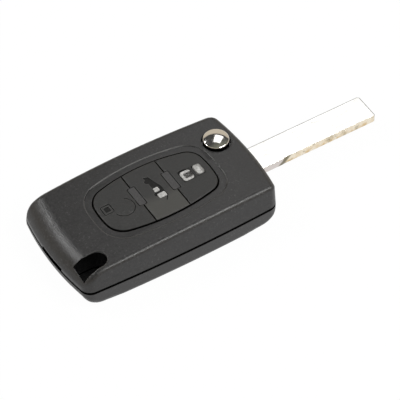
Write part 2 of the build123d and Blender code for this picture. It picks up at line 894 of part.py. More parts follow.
# Folded strap that carries the cell from below
with BuildPart() as battery_strap:
    leg_x = -cell_radius - strap_clearance - strap_thickness
    inner_x = leg_x + strap_thickness
    foot_x = inner_x + strap_foot
    tab_x = leg_x - strap_tab
    foot_z = cell_bottom - strap_thickness
    tab_z = board_height - strap_thickness
    with BuildSketch(Plane.XZ.offset(-cell_y)):
        with BuildLine():
            Polyline(
                (tab_x, board_height),
                (inner_x, board_height),
                (inner_x, cell_bottom),
                (foot_x, cell_bottom),
                (foot_x, foot_z),
                (leg_x, foot_z),
                (leg_x, tab_z),
                (tab_x, tab_z),
                close=True,
            )
        make_face()
    extrude(amount=strap_width / 2, both=True)

battery_strap.part.label = "battery_strap"
export_step(battery_strap.part, "parts/battery_strap.step")

# Transponder in its pocket, clear of the blade slot
with BuildPart() as transponder:
    with BuildSketch(Plane.XY.offset(transponder_floor)):
        with Locations((transponder_x, transponder_y)):
            Rectangle(transponder_length, transponder_width)
    extrude(amount=transponder_height)
    chamfer(transponder.edges().group_by(Axis.Z)[-1], pocket_clearance)

transponder.part.label = "transponder"
export_step(transponder.part, "parts/transponder.step")


def keyed_outline(fit):
    """Round section with two flats, which turns the blade with the hub."""
    with BuildSketch() as outline:
        with Locations((pivot_x, pivot_y)):
            Circle(square_radius + fit)
            Rectangle(
                2 * (journal_radius + fit),
                2 * (square_radius + fit),
                mode=Mode.INTERSECT,
            )
    return outline.sketch


# Flip hub: journal in the back cover, keyed seat for the blade, and a cup for the button
with BuildPart() as flip_hub:
    with BuildSketch(Plane.XY.offset(hub_bottom)):
        with Locations((pivot_x, pivot_y)):
            Circle(journal_radius)
    extrude(amount=blade_bottom - hub_bottom)
    with BuildSketch(Plane.XY.offset(blade_bottom)):
        add(keyed_outline(0))
    extrude(amount=blade_thickness)
    with BuildSketch(Plane.XY.offset(blade_top)):
        with Locations((pivot_x, pivot_y)):
            Circle(hub_radius)
    extrude(amount=hub_top - blade_top)
    # Groove for the retaining clip
    with BuildSketch(Plane.XY.offset(blade_bottom - key_fit - clip_thickness)):
        with Locations((pivot_x, pivot_y)):
            Circle(square_radius)
            Circle(journal_radius - clip_groove, mode=Mode.SUBTRACT)
    extrude(amount=clip_thickness + key_fit, mode=Mode.SUBTRACT)
    # Bores for the spring and for the button
    with BuildSketch(Plane.XY.offset(hub_bottom)):
        with Locations((pivot_x, pivot_y)):
            Circle(spring_room)
    extrude(amount=top_z, mode=Mode.SUBTRACT)
    with BuildSketch(Plane.XY.offset(hub_step)):
        with Locations((pivot_x, pivot_y)):
            Circle(button_radius + running_gap)
    extrude(amount=top_z, mode=Mode.SUBTRACT)
    # Windows that the button's lugs slide in
    with BuildSketch(Plane.XY.offset(hub_step)):
        with Locations((pivot_x, pivot_y)):
            Rectangle(2 * (button_radius + lug_reach) + 2 * lug_clearance, lug_width + 2 * lug_clearance)
    extrude(amount=lug_top + lug_clearance - hub_step, mode=Mode.SUBTRACT)

flip_hub.part.label = "flip_hub"
export_step(flip_hub.part, "parts/flip_hub.step")

# Blade blank: flat steel with a ring for the hub, one edge milled along its length
with BuildPart() as blade:
    with BuildSketch(Plane.XY.offset(blade_bottom)):
        add(blade_outline(0))
    extrude(amount=blade_thickness)
    fillet(blade.edges().filter_by(Axis.Z).group_by(Axis.X)[-1], blade_tip_radius)
    chamfer(blade.edges().group_by(Axis.Z)[0], blade_edge_chamfer)
    chamfer(blade.edges().group_by(Axis.Z)[-1], blade_edge_chamfer)
    with BuildSketch(Plane.XY.offset(blade_bottom)):
        add(keyed_outline(key_fit))
    extrude(amount=blade_thickness, mode=Mode.SUBTRACT)
    # Milled edge, which starts with the round of the cutter
    with BuildSketch(Plane.XY.offset(blade_bottom)):
        mill_x = pivot_x + mill_start
        mill_y = blade_low_y + mill_depth
        with Locations((mill_x, mill_y)):
            Rectangle(blade_reach, 2 * mill_cutter_radius, align=(Align.MIN, Align.MAX))
        with Locations((mill_x, mill_y - mill_cutter_radius)):
            Circle(mill_cutter_radius)
    extrude(amount=blade_thickness, mode=Mode.SUBTRACT)

blade.part.label = "blade"
export_step(blade.part, "parts/blade.step")

# Clip that keeps the blade on the hub
with BuildPart() as hub_clip:
    with BuildSketch(Plane.XY.offset(blade_bottom - key_fit - clip_thickness)):
        with Locations((pivot_x, pivot_y)):
            Circle(clip_radius)
            Circle(journal_radius - clip_groove + key_fit, mode=Mode.SUBTRACT)
        with Locations((pivot_x, pivot_y)):
            Rectangle(2 * clip_radius, clip_mouth, align=(Align.MIN, Align.CENTER), mode=Mode.SUBTRACT)
    extrude(amount=clip_thickness)

hub_clip.part.label = "hub_clip"
export_step(hub_clip.part, "parts/hub_clip.step")

# Release button: a domed cap with a skirt and two lugs, hollow over the spring
with BuildPart() as release_button:
    with BuildSketch(Plane.XZ.offset(-pivot_y)):
        inner_x = button_radius - button_skirt_wall
        with BuildLine():
            Line((pivot_x, button_ceiling), (pivot_x + inner_x, button_ceiling))
            Line((pivot_x + inner_x, button_ceiling), (pivot_x + inner_x, skirt_bottom))
            Line((pivot_x + inner_x, skirt_bottom), (pivot_x + button_radius, skirt_bottom))
            Line((pivot_x + button_radius, skirt_bottom), (pivot_x + button_radius, button_edge_z))
            dome_radius = (button_radius**2 + button_crown**2) / (2 * button_crown)
            RadiusArc(
                (pivot_x + button_radius, button_edge_z),
                (pivot_x, button_edge_z + button_crown),
                -dome_radius,
            )
            Line((pivot_x, button_edge_z + button_crown), (pivot_x, button_ceiling))
        make_face()
    revolve(axis=Axis((pivot_x, pivot_y, 0), (0, 0, 1)))
    rim = release_button.edges().filter_by(GeomType.CIRCLE)
    rim = rim.filter_by(lambda edge: abs(edge.radius - button_radius) < button_edge_radius)
    fillet(rim.group_by(Axis.Z)[-1], button_edge_radius)
    with BuildSketch(Plane.XY.offset(skirt_bottom)):
        with Locations((pivot_x, pivot_y)):
            Rectangle(2 * (button_radius + lug_reach), lug_width)
            Circle(button_radius - button_skirt_wall / 2, mode=Mode.SUBTRACT)
    extrude(amount=lug_height)

release_button.part.label = "release_button"
export_step(release_button.part, "parts/release_button.step")

# Spring that lifts the button and throws the blade out
with BuildPart() as flip_spring:
    coil_radius = spring_outer_radius - spring_wire / 2
    coil_bottom = floor + spring_end_gap + spring_wire / 2
    coil_height = button_ceiling - spring_end_gap - spring_wire / 2 - coil_bottom
    with BuildLine() as coil:
        Helix(
            pitch=coil_height / spring_turns,
            height=coil_height,
            radius=coil_radius,
            center=(pivot_x, pivot_y, coil_bottom),
        )
    with BuildSketch(Plane(origin=coil.line @ 0, z_dir=coil.line % 0)):
        Circle(spring_wire / 2)
    sweep(path=coil.line, is_frenet=True)

flip_spring.part.label = "flip_spring"
export_step(flip_spring.part, "parts/flip_spring.step")
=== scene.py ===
from math import radians

import bpy
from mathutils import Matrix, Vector


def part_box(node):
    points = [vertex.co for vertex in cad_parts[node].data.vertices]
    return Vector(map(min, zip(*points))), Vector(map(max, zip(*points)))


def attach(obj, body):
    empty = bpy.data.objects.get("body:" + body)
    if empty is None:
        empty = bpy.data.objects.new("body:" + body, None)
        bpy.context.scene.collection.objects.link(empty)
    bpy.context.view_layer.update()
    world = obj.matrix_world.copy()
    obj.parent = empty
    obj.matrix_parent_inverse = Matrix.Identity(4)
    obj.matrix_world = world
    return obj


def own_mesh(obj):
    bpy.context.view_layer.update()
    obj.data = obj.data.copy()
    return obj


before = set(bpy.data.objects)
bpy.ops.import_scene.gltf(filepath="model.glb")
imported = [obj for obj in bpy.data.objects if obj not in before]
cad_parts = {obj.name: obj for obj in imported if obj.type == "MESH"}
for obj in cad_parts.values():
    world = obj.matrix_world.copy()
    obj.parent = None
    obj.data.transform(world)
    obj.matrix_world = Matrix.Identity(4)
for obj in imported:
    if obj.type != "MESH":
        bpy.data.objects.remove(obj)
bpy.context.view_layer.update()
millimetre = 0.001
bpy.ops.object.select_all(action="DESELECT")
bpy.context.scene.view_settings.view_transform = "Standard"


# Studio
# A white table in a dim room with a warm pale wall. A softbox behind the key shows in the blade and
# the dome, a narrow one draws the light along the rolled ring end, and a wide one lights the near side.

def lay(tree, kind, inputs=None, **settings):
    """Adds a shader node. An input takes a plain value, a node's first output or an output."""
    made = tree.nodes.new(kind)
    for name, value in settings.items():
        setattr(made, name, value)
    for name, value in (inputs or {}).items():
        if isinstance(value, bpy.types.Node):
            value = value.outputs[0]
        if isinstance(value, bpy.types.NodeSocket):
            tree.links.new(value, made.inputs[name])
        else:
            made.inputs[name].default_value = value
    return made


def reckon(tree, operation, *values, **settings):
    """Result of an arithmetic operation on one or two values."""
    return lay(tree, "ShaderNodeMath", dict(enumerate(values)), operation=operation, **settings).outputs[0]


def ramp(tree, value, start, end, low=0.0, high=1.0):
    """Value that goes from low to high while another one goes from start to end."""
    limits = {"From Min": start, "From Max": end, "To Min": low, "To Max": high}
    return lay(tree, "ShaderNodeMapRange", {"Value": value, **limits}).outputs[0]


def blend_colours(tree, mask, low, high):
    """Colour that goes from low to high where the mask goes from 0 to 1."""
    colours = {6: low, 7: high}
    for slot, colour in colours.items():
        if isinstance(colour, tuple):
            colours[slot] = (*colour, 1.0)
    mix = lay(tree, "ShaderNodeMix", {0: mask, **colours}, data_type="RGBA")
    return mix.outputs[2]


def paper_white(tree, plain):
    """Shader that the camera and shiny surfaces see as nearly white, and that lights like plain."""
    seen_share = 0.975
    path = lay(tree, "ShaderNodeLightPath")
    seen = reckon(tree, "MAXIMUM", path.outputs["Is Camera Ray"], path.outputs["Is Glossy Ray"])
    share = reckon(tree, "MULTIPLY", seen, seen_share)
    glow = lay(tree, "ShaderNodeEmission", {"Color": (1.0, 1.0, 1.0, 1.0), "Strength": 1.0})
    return lay(tree, "ShaderNodeMixShader", {0: share, 1: plain, 2: glow})


table_size = 3.0
bpy.ops.mesh.primitive_plane_add(size=table_size, location=(0, 0, 0))
table = bpy.context.object
table.name = "table"
table_paper = bpy.data.materials.new("table_paper")
table_paper.use_nodes = True
tree = table_paper.node_tree
paper = tree.nodes["Principled BSDF"]
paper.inputs["Base Color"].default_value = (0.86, 0.86, 0.86, 1.0)
paper.inputs["Roughness"].default_value = 0.9
tree.links.new(paper_white(tree, paper).outputs[0], tree.nodes["Material Output"].inputs["Surface"])
table.data.materials.append(table_paper)

studio_world = bpy.data.worlds.new("studio")
bpy.context.scene.world = studio_world
studio_world.use_nodes = True
tree = studio_world.node_tree
room = tree.nodes["Background"]
path = lay(tree, "ShaderNodeLightPath")
direction = lay(tree, "ShaderNodeTexCoord").outputs["Generated"]
height = lay(tree, "ShaderNodeSeparateXYZ", {0: direction}).outputs["Z"]
warm_wall = (0.68, 0.61, 0.51)
wall_end, ceiling_start = 0.50, 0.54
dark_ceiling = (0.068, 0.068, 0.068)
pale_near_side = (0.24, 0.245, 0.20)
far_side_end, near_side_start = -0.30, 0.15
towards_near_side = lay(tree, "ShaderNodeVectorMath",
                        {0: direction, 1: (0.0, -1.0, 0.0)}, operation="DOT_PRODUCT")
near_side = ramp(tree, towards_near_side.outputs["Value"], far_side_end, near_side_start)
upper_room = blend_colours(tree, near_side, dark_ceiling, pale_near_side)
wall = ramp(tree, height, wall_end, ceiling_start, low=1.0, high=0.0)
mirrored = blend_colours(tree, wall, upper_room, warm_wall)
light_from_the_sides, light_from_above = 0.95, 0.30
light_level = ramp(tree, height, 0.0, 0.7, low=light_from_the_sides, high=light_from_above)
soft_light = lay(tree, "ShaderNodeCombineXYZ", {"X": light_level, "Y": light_level, "Z": light_level})
seen_by_gloss = blend_colours(tree, path.outputs["Is Glossy Ray"], soft_light.outputs[0], mirrored)
seen = blend_colours(tree, path.outputs["Is Camera Ray"], seen_by_gloss, (1.0, 1.0, 1.0))
tree.links.new(seen, room.inputs["Color"])

camera_place = Vector((-288.26, -483.75, 647.2)) * millimetre
camera_elevation = 48.504
camera_azimuth = -32.16
bpy.ops.object.camera_add(location=camera_place,
                          rotation=(radians(90 - camera_elevation), 0, radians(camera_azimuth)))
camera = bpy.context.object
camera.data.sensor_width = 36.0
camera.data.lens = 278.6
camera.data.clip_start = 0.05
bpy.context.scene.camera = camera


def softbox(name, aim, distance, width, height, power):
    """Soft lamp that shines on the key from the direction aim."""
    aim = Vector(aim)
    bpy.ops.object.light_add(type="AREA", location=aim.normalized() * distance)
    lamp = bpy.context.object
    lamp.name = name
    lamp.data.shape = "RECTANGLE"
    lamp.data.size = width
    lamp.data.size_y = height
    lamp.data.energy = power
    lamp.rotation_euler = aim.to_track_quat("Z", "Y").to_euler()


softbox("softbox_behind", aim=(0.40, 0.385, 0.83), distance=0.75, width=0.31, height=0.47, power=0.79)
softbox("softbox_ring_end", aim=(-0.43, 0.505, 0.745), distance=0.8, width=0.44, height=0.06, power=2.4)
softbox("softbox_near_side", aim=(0.35, -0.54, 0.77), distance=0.8, width=0.55, height=0.22, power=4.6)


# Back cover
# The tray that carries everything, injection moulded in black plastic with a fine spark-eroded
# texture. Handling has polished its edges and left faint scuffs.

def new_group(name, inputs, outputs):
    """Node group with the given sockets, and its input and output nodes."""
    group = bpy.data.node_groups.new(name, "ShaderNodeTree")
    for socket_name, kind, value in inputs:
        socket = group.interface.new_socket(socket_name, in_out="INPUT", socket_type=kind)
        socket.default_value = value
    for socket_name, kind in outputs:
        group.interface.new_socket(socket_name, in_out="OUTPUT", socket_type=kind)
    return group, group.nodes.new("NodeGroupInput"), group.nodes.new("NodeGroupOutput")


skin_outputs = [
    ("Colour", "NodeSocketColor"),
    ("Roughness", "NodeSocketFloat"),
    ("Height", "NodeSocketFloat"),
]
moulded_skin, taken, given = new_group(
    "moulded_skin",
    [
        ("Colour", "NodeSocketColor", (0.03, 0.03, 0.03, 1.0)),
        ("Worn Colour", "NodeSocketColor", (0.1, 0.1, 0.1, 1.0)),
        ("Grain Scale", "NodeSocketFloat", 5000.0),
        ("Roughness", "NodeSocketFloat", 0.5),
        ("Wear", "NodeSocketFloat", 0.5),
    ],
    skin_outputs,
)
tree = moulded_skin
where = lay(tree, "ShaderNodeTexCoord").outputs["Object"]
grain = lay(tree, "ShaderNodeTexNoise",
            {"Vector": where, "Scale": taken.outputs["Grain Scale"], "Detail": 3.0, "Roughness": 0.7})
mottle = lay(tree, "ShaderNodeTexNoise", {"Vector": where, "Scale": 1800.0, "Detail": 3.0})
handling = lay(tree, "ShaderNodeTexNoise", {"Vector": where, "Scale": 90.0, "Detail": 4.0, "Roughness": 0.6})
scuffs = lay(tree, "ShaderNodeTexNoise", {"Vector": where, "Scale": 1500.0, "Detail": 4.0, "Roughness": 0.75})
rounded = lay(tree, "ShaderNodeBevel", {"Radius": 0.28 * millimetre}, samples=6)
facing = lay(tree, "ShaderNodeNewGeometry").outputs["Normal"]
agree = lay(tree, "ShaderNodeVectorMath", {0: rounded, 1: facing}, operation="DOT_PRODUCT")
edge = ramp(tree, agree.outputs["Value"], 0.99, 0.85)
scuffed = ramp(tree, scuffs, 0.58, 0.70)
touched = ramp(tree, handling, 0.4, 0.7, low=0.2)
scuffed = reckon(tree, "MULTIPLY", scuffed, touched)
worn = reckon(tree, "ADD", edge, scuffed)
worn = reckon(tree, "MULTIPLY", worn, taken.outputs["Wear"], use_clamp=True)
tone = ramp(tree, mottle, 0.3, 0.7, low=0.6, high=1.4)
toned = lay(tree, "ShaderNodeVectorMath", {0: taken.outputs["Colour"], "Scale": tone}, operation="SCALE")
shade = blend_colours(tree, worn, toned.outputs[0], taken.outputs["Worn Colour"])
shine = ramp(tree, mottle, 0.3, 0.7, low=-0.1, high=0.1)
rough = reckon(tree, "ADD", taken.outputs["Roughness"], shine)
tree.links.new(shade, given.inputs["Colour"])
tree.links.new(rough, given.inputs["Roughness"])
tree.links.new(grain.outputs[0], given.inputs["Height"])


def dress(material, group, values, edge_radius, relief, relief_depth, metallic=0.0):
    """Puts a skin group on a material, with softened edges, and gives back its nodes."""
    material.use_nodes = True
    tree = material.node_tree
    surface = tree.nodes["Principled BSDF"]
    surface.inputs["Metallic"].default_value = metallic
    skin = tree.nodes.new("ShaderNodeGroup")
    skin.node_tree = group
    for name, value in values.items():
        skin.inputs[name].default_value = value
    soft_edge = lay(tree, "ShaderNodeBevel", {"Radius": edge_radius * millimetre},
                    samples=4, name="soft_edge")
    bump = lay(tree, "ShaderNodeBump",
               {"Strength": relief, "Distance": relief_depth * millimetre,
                "Height": skin.outputs["Height"], "Normal": soft_edge})
    tree.links.new(skin.outputs["Colour"], surface.inputs["Base Color"])
    tree.links.new(skin.outputs["Roughness"], surface.inputs["Roughness"])
    tree.links.new(bump.outputs[0], surface.inputs["Normal"])
    return tree, surface, skin


def moulded_plastic(name, colour, worn_colour, grain_scale, roughness, wear, relief):
    """Moulded plastic: grained skin, softened edges and a little wear."""
    plastic = bpy.data.materials.new(name)
    values = {"Colour": (*colour, 1.0), "Worn Colour": (*worn_colour, 1.0), "Grain Scale": grain_scale,
              "Roughness": roughness, "Wear": wear}
    dress(plastic, moulded_skin, values, edge_radius=0.12, relief=relief, relief_depth=0.03)
    return plastic


def box_mask(tree, where, low, high, fade):
    """Mask that is 1 inside a box and fades out over fade past its faces, all in millimetres."""
    middle = [(a + b) / 2 * millimetre for a, b in zip(low, high)]
    half = [(b - a) / 2 * millimetre for a, b in zip(low, high)]
    offset = lay(tree, "ShaderNodeVectorMath", {0: where, 1: middle}, operation="SUBTRACT")
    outward = lay(tree, "ShaderNodeVectorMath", {0: offset}, operation="ABSOLUTE")
    past_face = lay(tree, "ShaderNodeVectorMath", {0: outward, 1: half}, operation="SUBTRACT")
    by_axis = lay(tree, "ShaderNodeSeparateXYZ", {0: past_face})
    past = reckon(tree, "MAXIMUM", by_axis.outputs["X"], by_axis.outputs["Y"])
    past = reckon(tree, "MAXIMUM", past, by_axis.outputs["Z"])
    return ramp(tree, past, 0.0, fade * millimetre, low=1.0, high=0.0)


def tint(material, mask, colour=None, share=1.0, duller=0.0):
    """Changes the colour and roughness of a material where the mask is 1."""
    tree = material.node_tree
    surface = tree.nodes["Principled BSDF"]
    plain = surface.inputs["Base Color"].links[0].from_socket
    if colour is None:
        colour = lay(tree, "ShaderNodeVectorMath", {0: plain, "Scale": share}, operation="SCALE").outputs[0]
    tree.links.new(blend_colours(tree, mask, plain, colour), surface.inputs["Base Color"])
    roughness = surface.inputs["Roughness"].links[0].from_socket
    added = reckon(tree, "MULTIPLY", mask, duller)
    matt = reckon(tree, "ADD", roughness, added, use_clamp=True)
    tree.links.new(matt, surface.inputs["Roughness"])


def paint_gap_shade(material, mask):
    """Painted shade: leaves no colour and no shine where the mask is 1, as in a deep gap in shadow."""
    tint(material, mask, share=0.04, duller=0.4)
    tree = material.node_tree
    metallic = tree.nodes["Principled BSDF"].inputs["Metallic"]
    if metallic.links:
        mask = reckon(tree, "MAXIMUM", metallic.links[0].from_socket, mask)
    tree.links.new(mask, metallic)


def finish_node(node_name, material):
    """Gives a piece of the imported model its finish."""
    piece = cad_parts[node_name]
    piece.data.materials.clear()
    piece.data.materials.append(material)
    return piece


shell_plastic = moulded_plastic(
    "shell_plastic", colour=(0.015, 0.0145, 0.0145), worn_colour=(0.13, 0.13, 0.125),
    grain_scale=3500.0, roughness=0.38, wear=0.6, relief=0.9)
part_z = 6.4
# Painted shade: the parting line, the pry notch and the key-ring slot are coloured black, as the shade inside
# them.
parting_gap_shade = ((-40.0, -30.0, part_z - 0.42), (40.0, 30.0, part_z + 0.36), 0.08)
parting_notch_shade = ((-32.0, -6.05, part_z - 0.45), (-30.9, 4.05, part_z + 1.35), 0.03)
ring_slot_shade = ((-30.2, -14.83, -0.5), (-21.5, -9.17, 12.3), 0.05)
tree = shell_plastic.node_tree
where = lay(tree, "ShaderNodeTexCoord").outputs["Object"]
for low, high, fade in (parting_gap_shade, parting_notch_shade, ring_slot_shade):
    paint_gap_shade(shell_plastic, box_mask(tree, where, low, high, fade))
finish_node("back_cover", shell_plastic)


# Battery and its contacts
# A nickel-plated coin cell under the board, carried by a folded strap and touched from above by
# a round spring contact, both punched from gilt brass sheet.

brushed_metal, taken, given = new_group(
    "brushed_metal",
    [
        ("Colour", "NodeSocketColor", (0.6, 0.6, 0.6, 1.0)),
        ("Stain Colour", "NodeSocketColor", (0.3, 0.28, 0.25, 1.0)),
        ("Stretch", "NodeSocketVector", (1.0, 1.0, 1.0)),
        ("Roughness", "NodeSocketFloat", 0.3),
        ("Stain", "NodeSocketFloat", 0.3),
    ],
    skin_outputs,
)
tree = brushed_metal
where = lay(tree, "ShaderNodeTexCoord").outputs["Object"]
drawn = lay(tree, "ShaderNodeVectorMath", {0: where, 1: taken.outputs["Stretch"]}, operation="MULTIPLY")
lines = lay(tree, "ShaderNodeTexNoise", {"Vector": drawn, "Scale": 4000.0, "Detail": 4.0})
stains = lay(tree, "ShaderNodeTexNoise", {"Vector": where, "Scale": 260.0, "Detail": 5.0, "Roughness": 0.65})
stained = reckon(tree, "MULTIPLY", ramp(tree, stains, 0.5, 0.75), taken.outputs["Stain"])
shade = blend_colours(tree, stained, taken.outputs["Colour"], taken.outputs["Stain Colour"])
shine = ramp(tree, lines, 0.3, 0.7, low=-0.08, high=0.08)
rough = reckon(tree, "ADD", taken.outputs["Roughness"], shine)
tree.links.new(shade, given.inputs["Colour"])
tree.links.new(rough, given.inputs["Roughness"])
tree.links.new(lines.outputs[0], given.inputs["Height"])


def sheet_metal(name, colour, stain_colour, stretch, roughness, stain, relief):
    """Metal with drawing or brushing lines, softened edges and stains."""
    metal = bpy.data.materials.new(name)
    values = {"Colour": (*colour, 1.0), "Stain Colour": (*stain_colour, 1.0), "Stretch": stretch,
              "Roughness": roughness, "Stain": stain}
    dress(metal, brushed_metal, values, edge_radius=0.06, relief=relief, relief_depth=0.01, metallic=1.0)
    return metal


cell_steel = sheet_metal(
    "cell_steel", colour=(0.62, 0.62, 0.60), stain_colour=(0.40, 0.39, 0.36), stretch=(1.0, 1.0, 1.0),
    roughness=0.28, stain=0.3, relief=0.3)
contact_gilt = sheet_metal(
    "contact_gilt", colour=(0.72, 0.58, 0.32), stain_colour=(0.42, 0.30, 0.16), stretch=(0.1, 1.0, 1.0),
    roughness=0.3, stain=0.4, relief=0.3)
finish_node("coin_cell", cell_steel)
finish_node("battery_contact", contact_gilt)
finish_node("battery_strap", contact_gilt)


# Circuit board with its switches and chip
# Glass-fibre board under green lacquer, with copper tracks showing through as paler lines. The
# switches and the chip are black mouldings soldered onto it.

board_lacquer = bpy.data.materials.new("board_lacquer")
board_lacquer.use_nodes = True
tree = board_lacquer.node_tree
surface = tree.nodes["Principled BSDF"]
where = lay(tree, "ShaderNodeTexCoord").outputs["Object"]
lanes = lay(tree, "ShaderNodeTexBrick",
            {"Vector": where, "Scale": 420.0, "Mortar Size": 0.035, "Mortar Smooth": 0.1,
             "Brick Width": 1.3, "Row Height": 0.35}, offset=0.37, squash=0.6, squash_frequency=3)
tracks = ramp(tree, lanes.outputs["Fac"], 0.2, 0.8)
lacquer = blend_colours(tree, tracks, (0.015, 0.105, 0.045), (0.06, 0.24, 0.10))
relief = lay(tree, "ShaderNodeBump", {"Strength": 0.4, "Distance": 0.03 * millimetre, "Height": tracks})
tree.links.new(lacquer, surface.inputs["Base Color"])
tree.links.new(relief.outputs[0], surface.inputs["Normal"])
surface.inputs["Roughness"].default_value = 0.3
finish_node("circuit_board", board_lacquer)

switch_plastic = moulded_plastic(
    "switch_plastic", colour=(0.02, 0.02, 0.021), worn_colour=(0.06, 0.06, 0.06),
    grain_scale=9000.0, roughness=0.4, wear=0.2, relief=0.3)
chip_resin = moulded_plastic(
    "chip_resin", colour=(0.016, 0.016, 0.018), worn_colour=(0.05, 0.05, 0.05),
    grain_scale=12000.0, roughness=0.6, wear=0.2, relief=0.5)
for switch_name in ("switch_lock", "switch_tailgate", "switch_unlock"):
    finish_node(switch_name, switch_plastic)
finish_node("control_chip", chip_resin)
finish_node("transponder", chip_resin)


# Flip hub with its clip and spring
# A zinc die casting, tumbled smooth, that turns with the blade. A spring-steel clip keeps the
# blade on it, and a coil of drawn wire inside lifts the button.

hub_zinc = sheet_metal(
    "hub_zinc", colour=(0.45, 0.45, 0.46), stain_colour=(0.26, 0.26, 0.26), stretch=(1.0, 1.0, 1.0),
    roughness=0.45, stain=0.4, relief=0.5)
spring_wire = sheet_metal(
    "spring_wire", colour=(0.42, 0.42, 0.43), stain_colour=(0.22, 0.21, 0.20), stretch=(1.0, 1.0, 0.2),
    roughness=0.3, stain=0.3, relief=0.3)
finish_node("flip_hub", hub_zinc)
finish_node("hub_clip", spring_wire)
spring = finish_node("flip_spring", spring_wire)
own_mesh(spring)


# Blade
# An uncut blank punched from nickel-plated sheet and ground on its faces. One edge is milled
# along its length, which bares the yellower metal and leaves cutter marks and dark smears.

blade_steel = bpy.data.materials.new("blade_steel")
blade_values = {"Colour": (0.84, 0.83, 0.80, 1.0), "Stain Colour": (0.62, 0.60, 0.56, 1.0),
                "Stretch": (0.06, 1.0, 1.0), "Roughness": 0.26, "Stain": 0.2}
tree, surface, skin = dress(blade_steel, brushed_metal, blade_values, edge_radius=0.1, relief=0.12,
                            relief_depth=0.01, metallic=1.0)
tree.nodes["soft_edge"].samples = 8
normal = lay(tree, "ShaderNodeSeparateXYZ", {0: lay(tree, "ShaderNodeNewGeometry").outputs["Normal"]})
where = lay(tree, "ShaderNodeTexCoord").outputs["Object"]
place = lay(tree, "ShaderNodeSeparateXYZ", {0: where})
side = ramp(tree, normal.outputs["Y"], -0.8, -0.95)
mill_start, mill_fade = 41.35 * millimetre, 0.4 * millimetre
milled = ramp(tree, place.outputs["X"], mill_start, mill_start + mill_fade)
bared = reckon(tree, "MULTIPLY", side, milled)
smears = lay(tree, "ShaderNodeTexNoise", {"Vector": where, "Scale": 330.0, "Detail": 5.0, "Roughness": 0.7})
smeared = ramp(tree, smears, 0.52, 0.68, high=0.9)
blush = lay(tree, "ShaderNodeTexNoise", {"Vector": where, "Scale": 520.0, "Detail": 3.0})
blushed = ramp(tree, blush, 0.42, 0.62)
pale_height, golden_height = 7.0 * millimetre, 5.5 * millimetre
golden = ramp(tree, place.outputs["Z"], pale_height, golden_height, low=0.15)
golden = reckon(tree, "MULTIPLY", golden, blushed)
cut_metal = blend_colours(tree, golden, (0.84, 0.76, 0.62), (0.66, 0.48, 0.25))
cut_metal = blend_colours(tree, smeared, cut_metal, (0.27, 0.23, 0.13))
dull_side = blend_colours(tree, side, skin.outputs["Colour"], (0.66, 0.61, 0.58))
ground = blend_colours(tree, bared, dull_side, cut_metal)

# Dark slanting mark where the cutter ran out
run_out = reckon(tree, "SUBTRACT", place.outputs["X"], place.outputs["Z"])
run_out = reckon(tree, "SUBTRACT", run_out, mill_start - part_z * millimetre)
run_out = reckon(tree, "ABSOLUTE", run_out)
run_out = ramp(tree, run_out, 0.7 * millimetre, 1.5 * millimetre, low=0.9, high=0.0)
run_out = reckon(tree, "MULTIPLY", run_out, side)
ground = blend_colours(tree, run_out, ground, (0.16, 0.14, 0.08))

# Painted shade: a thin grey line along the rim of the ground face, where its rounded edge would darken, on
# the length outside the shell
rim_shade_width = 0.36
blade_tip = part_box("blade")[1][0] / millimetre
blade_far_edge = 4.55
shell_end, line_start = 31.0 * millimetre, 32.0 * millimetre
flat = box_mask(tree, where, low=(-40.0, -40.0, 0.0),
                high=(blade_tip - rim_shade_width, blade_far_edge - rim_shade_width, 20.0), fade=0.08)
rim = reckon(tree, "SUBTRACT", 1.0, flat)
rim = reckon(tree, "MULTIPLY", rim, ramp(tree, place.outputs["X"], shell_end, line_start))
ground = blend_colours(tree, rim, ground, (0.24, 0.24, 0.23))
tree.links.new(ground, surface.inputs["Base Color"])
finish_node("blade", blade_steel)


# Release button
# A domed cap of chrome-plated plastic, hazed a little by keys and coins. The side that it slides
# on in the cover's bore is painted black, as the shade in the gap round the dome.

button_chrome = bpy.data.materials.new("button_chrome")
button_chrome.use_nodes = True
tree = button_chrome.node_tree
surface = tree.nodes["Principled BSDF"]
surface.inputs["Metallic"].default_value = 1.0
where = lay(tree, "ShaderNodeTexCoord").outputs["Object"]
haze = lay(tree, "ShaderNodeTexNoise", {"Vector": where, "Scale": 1200.0, "Detail": 5.0})
rough = ramp(tree, haze, 0.35, 0.7, low=0.07, high=0.16)
plate = blend_colours(tree, haze, (0.70, 0.68, 0.64), (0.78, 0.76, 0.72))
tree.links.new(plate, surface.inputs["Base Color"])
tree.links.new(rough, surface.inputs["Roughness"])
skirt_top, skirt_fade = 14.3, 0.08
height = lay(tree, "ShaderNodeSeparateXYZ", {0: where}).outputs["Z"]
skirt_shade = ramp(tree, height, skirt_top * millimetre, (skirt_top - skirt_fade) * millimetre)
# Painted shade: black without shine on the side below the dome.
tint(button_chrome, skirt_shade, colour=(0.006, 0.006, 0.006), duller=0.4)
finish_node("release_button", button_chrome)


# Front cover
# The crowned upper half of the shell, moulded with the same texture as the back cover. The keys
# stand in its opening and the button in its bore, each with a gap round it that is painted black as shade.

crown_top, crown_peak_x, crown_radius = 13.9, 5.35, 420.0
crown_depth, taken, given = new_group(
    "crown_depth", [("Object", "NodeSocketVector", (0.0, 0.0, 0.0))], [("Depth", "NodeSocketFloat")])
tree = crown_depth
place = lay(tree, "ShaderNodeSeparateXYZ", {0: taken.outputs["Object"]})
along = reckon(tree, "SUBTRACT", place.outputs["X"], crown_peak_x * millimetre)
fall = reckon(tree, "DIVIDE", reckon(tree, "MULTIPLY", along, along), 2 * crown_radius * millimetre)
crown = reckon(tree, "SUBTRACT", crown_top * millimetre, fall)
tree.links.new(reckon(tree, "SUBTRACT", crown, place.outputs["Z"]), given.inputs["Depth"])


def sunk_mask(tree, start, end):
    """Mask that goes from 0 to 1 between two depths under the crown, in millimetres."""
    sunk = tree.nodes.new("ShaderNodeGroup")
    sunk.node_tree = crown_depth
    tree.links.new(lay(tree, "ShaderNodeTexCoord").outputs["Object"], sunk.inputs["Object"])
    return ramp(tree, sunk.outputs["Depth"], start * millimetre, end * millimetre)


